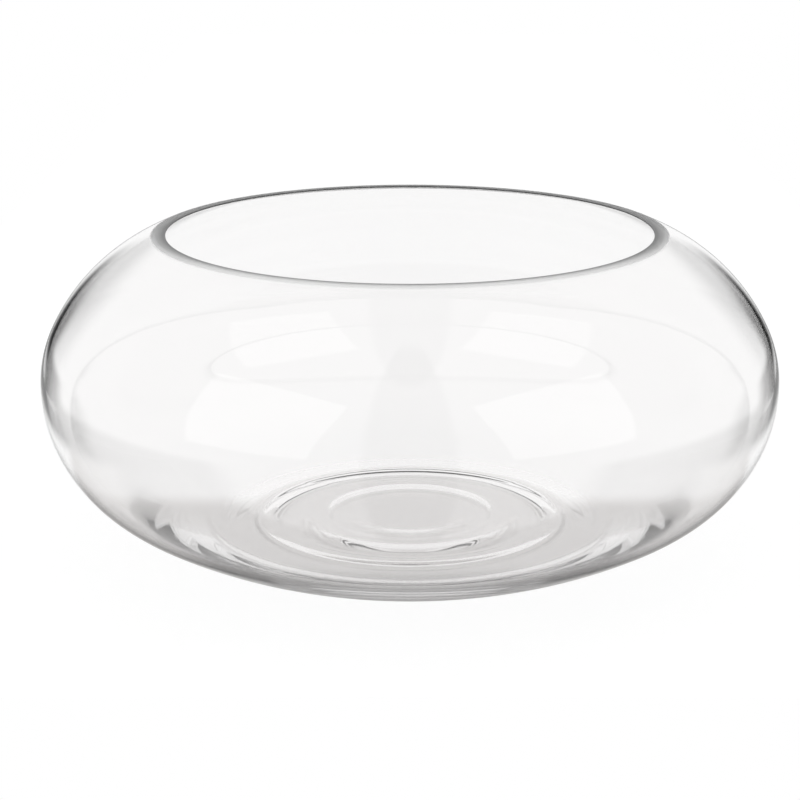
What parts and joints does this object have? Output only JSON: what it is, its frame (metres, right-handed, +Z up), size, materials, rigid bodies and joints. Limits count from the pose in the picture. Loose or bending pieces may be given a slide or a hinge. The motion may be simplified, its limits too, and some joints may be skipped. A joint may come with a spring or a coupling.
{
  "type": "floating candle bowl",
  "caption": "Squat clear glass bowl with a wide round belly, a shoulder curving in to an open ground rim and a thick flat-footed base, for water and floating candles.",
  "frame": {"origin": "centre of the foot ring, on the surface that the bowl stands on", "axes": "+Z up along the bowl's axis of revolution, out of the mouth; X and Y are alike"},
  "size_m": [0.3, 0.3, 0.1277],
  "materials": {
    "clear_glass": "clear, fire-polished, with a ground and polished rim"
  },
  "bodies": {
    "root": {"glass_bowl": "clear_glass"}
  },
  "joints": []
}
